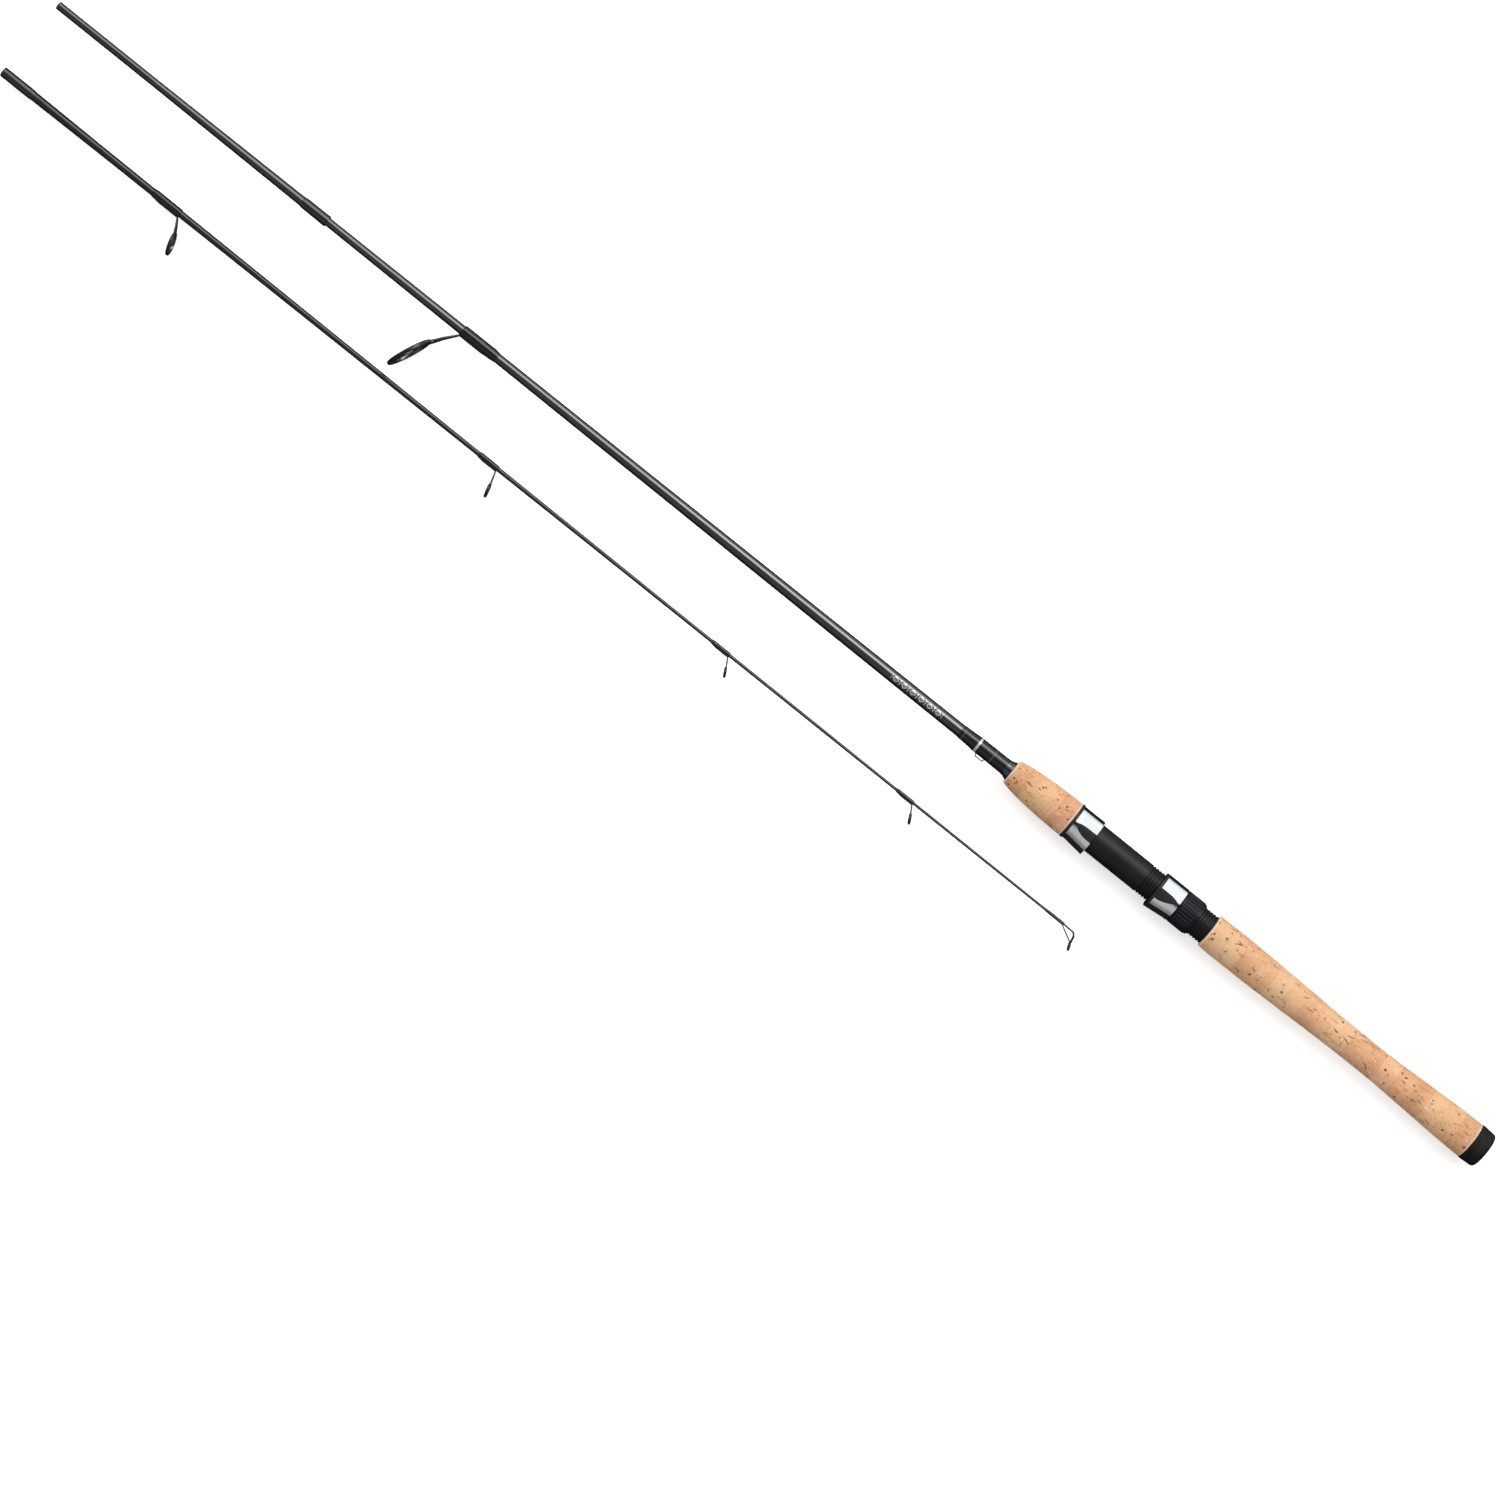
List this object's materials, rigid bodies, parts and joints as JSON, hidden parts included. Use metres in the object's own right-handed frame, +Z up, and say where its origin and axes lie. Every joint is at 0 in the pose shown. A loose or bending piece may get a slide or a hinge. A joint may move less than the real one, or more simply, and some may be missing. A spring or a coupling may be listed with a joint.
{
  "type": "spinning rod",
  "caption": "Spinning fishing rod taken down: handle with cork grips and a screw-locking reel seat, ferruled blank, ring guides, and the tip section lying beside it.",
  "frame": {"origin": "centre of the butt cap's flat end face, on the butt section's axis", "axes": "+X out of the butt end along the rod's axis (the rod runs to -X), -Y the side the guides stand on, +Z up off the table it lies on"},
  "size_m": [1.192, 0.0961, 0.032],
  "materials": {
    "cap_rubber": "matt",
    "cork": "natural cork, sanded",
    "blank": "clear-coated carbon",
    "seat": "moulded, satin",
    "arbor": "foam",
    "chrome": "bright",
    "liner": "moulded",
    "nut": "ribbed, satin",
    "check": "gloss",
    "wrap": "thread under epoxy",
    "trim": "metallic thread",
    "wire": "polished wire",
    "frame": "dark plated",
    "ring": "polished"
  },
  "bodies": {
    "butt_section": {"butt_cap": "cap_rubber", "rear_grip": "cork", "butt_blank": "blank", "seat_barrel": "seat", "seat_arbors": "arbor", "fixed_hood_shell": "chrome", "fixed_hood_liner": "liner", "fore_grip": "cork", "winding_check": "check", "keeper_wrap": "wrap", "keeper_trim": "trim", "hook_keeper": "wire", "stripper_frame": "frame", "stripper_ring": "ring", "stripper_wrap": "wrap"},
    "moving_hood": {"moving_hood_shell": "chrome", "moving_hood_liner": "liner"},
    "lock_nut": {"lock_nut": "nut"},
    "upper_section": {"upper_blank": "blank", "upper_ferrule_wrap": "wrap"},
    "tip_section": {"tip_blank": "blank", "tip_ferrule_wrap": "wrap", "guide2_frame": "frame", "guide2_ring": "ring", "guide2_wrap": "wrap", "guide3_frame": "frame", "guide3_ring": "ring", "guide3_wrap": "wrap", "guide4_frame": "frame", "guide4_ring": "ring", "guide4_wrap": "wrap", "guide5_frame": "frame", "guide5_ring": "ring", "guide5_wrap": "wrap", "tip_top_tube": "frame", "tip_top_frame": "frame", "tip_top_ring": "ring", "tip_top_wrap": "wrap"}
  },
  "joints": [
    {"name": "hood_slide", "type": "slide", "parent": "butt_section", "child": "moving_hood", "axis": [1, 0, 0], "range_m": [-0.018, 0.009]},
    {"name": "nut_spin", "type": "hinge", "parent": "moving_hood", "child": "lock_nut", "pos_m": [-0.247, 0, 0], "axis": [1, 0, 0], "range_deg": [-2886, 1446]},
    {"name": "ferrule_slide", "type": "slide", "parent": "butt_section", "child": "upper_section", "axis": [-1, 0, 0], "range_m": [0, 0.075]},
    {"name": "tip_section_slide", "type": "slide", "parent": "butt_section", "child": "tip_section", "axis": [1, 0, 0], "range_m": [-0.06, 0.06]}
  ],
  "couplings": [
    {"joint": "nut_spin", "follows": "hood_slide", "rad_per_m": 2792.5}
  ]
}
